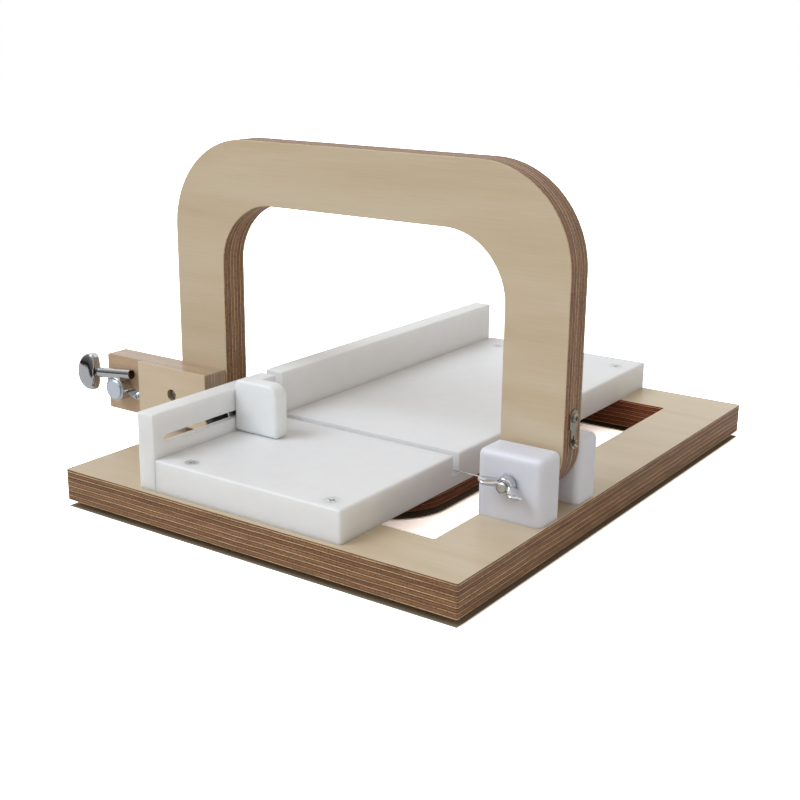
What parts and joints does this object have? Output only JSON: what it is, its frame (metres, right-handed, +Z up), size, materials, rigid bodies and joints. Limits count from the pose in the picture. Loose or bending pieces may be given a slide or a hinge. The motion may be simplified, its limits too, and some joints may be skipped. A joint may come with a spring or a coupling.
{
  "type": "soap cutter",
  "caption": "Bench soap cutter: plywood base, white platform with fences and a sliding stop, and a hinged plywood bow that draws a tensioned wire down through the bar.",
  "frame": {"origin": "on the floor, under the middle of the box round the whole tool", "axes": "+Z up; +Y from the front edge to the rear along the fences; +X from the fences and tuner towards the pivot"},
  "size_m": [0.3372, 0.35, 0.1998],
  "materials": {
    "birch_ply": "satin clear lacquer on birch plywood, dark and light ply edges",
    "white_plastic": "milled polyethylene sheet, satin",
    "block_plastic": "cut polyethylene block with rounded edges, satin",
    "clear_plastic": "milky translucent plastic",
    "foot_rubber": "moulded black rubber",
    "knob_plastic": "moulded black plastic knob on a steel stud",
    "zinc_steel": "bright zinc plate",
    "chrome_plate": "polished chrome plate",
    "gear_steel": "machined steel",
    "gear_brass": "machined brass",
    "steel_wire": "bright drawn spring steel"
  },
  "bodies": {
    "base": {"base_board": "birch_ply", "rubber_feet": "foot_rubber", "foot_screws": "zinc_steel", "platform": "white_plastic", "platform_screws": "zinc_steel", "front_fence": "white_plastic", "rear_fence": "white_plastic", "fence_screws": "zinc_steel", "front_pivot_block": "block_plastic", "rear_pivot_block": "block_plastic", "pivot_block_screws": "zinc_steel", "pivot_bolt": "zinc_steel", "pivot_washers": "zinc_steel"},
    "wing_nut_body": {"wing_nut": "chrome_plate"},
    "stop": {"stop_block": "clear_plastic", "stop_washer": "zinc_steel"},
    "stop_knob": {"stop_thumb_screw": "knob_plastic"},
    "bow_body": {"bow": "birch_ply", "tuner_block": "birch_ply", "tuner_block_screws": "zinc_steel", "tuner_housing": "chrome_plate", "tuner_base_plate": "chrome_plate", "tuner_cap": "chrome_plate", "tuner_mount_screw": "chrome_plate", "post_bushing": "chrome_plate", "cutting_wire": "steel_wire", "wire_ball_end": "gear_brass", "wire_clip": "zinc_steel", "clip_screw": "zinc_steel"},
    "tuner_knob": {"worm_shaft": "gear_steel", "tuner_button": "chrome_plate", "button_screw": "chrome_plate"},
    "tuner_post": {"string_post": "chrome_plate", "worm_gear": "gear_brass", "gear_screw": "gear_steel"}
  },
  "joints": [
    {"name": "bow_pivot", "type": "hinge", "parent": "base", "child": "bow_body", "pos_m": [0.14686, -0.066, 0.0425], "axis": [0, 1, 0], "range_deg": [0, 84]},
    {"name": "wing_nut_turn", "type": "hinge", "parent": "base", "child": "wing_nut_body", "pos_m": [0.14686, -0.102, 0.0425], "axis": [0, 1, 0], "continuous": true},
    {"name": "stop_slide", "type": "slide", "parent": "base", "child": "stop", "axis": [0, 1, 0], "range_m": [-0.05875, 0.01725]},
    {"name": "stop_knob_turn", "type": "hinge", "parent": "stop", "child": "stop_knob", "pos_m": [-0.03304, -0.1025, 0.0497], "axis": [1, 0, 0], "continuous": true},
    {"name": "tuner_turn", "type": "hinge", "parent": "bow_body", "child": "tuner_knob", "pos_m": [-0.15591, -0.0943, 0.05056], "axis": [0.9945, 0, 0.1045], "continuous": true},
    {"name": "post_turn", "type": "hinge", "parent": "bow_body", "child": "tuner_post", "pos_m": [-0.13504, -0.075, 0.0434], "axis": [0, 1, 0], "continuous": true}
  ],
  "couplings": [
    {"joint": "post_turn", "follows": "tuner_turn", "ratio": 0.071429}
  ]
}
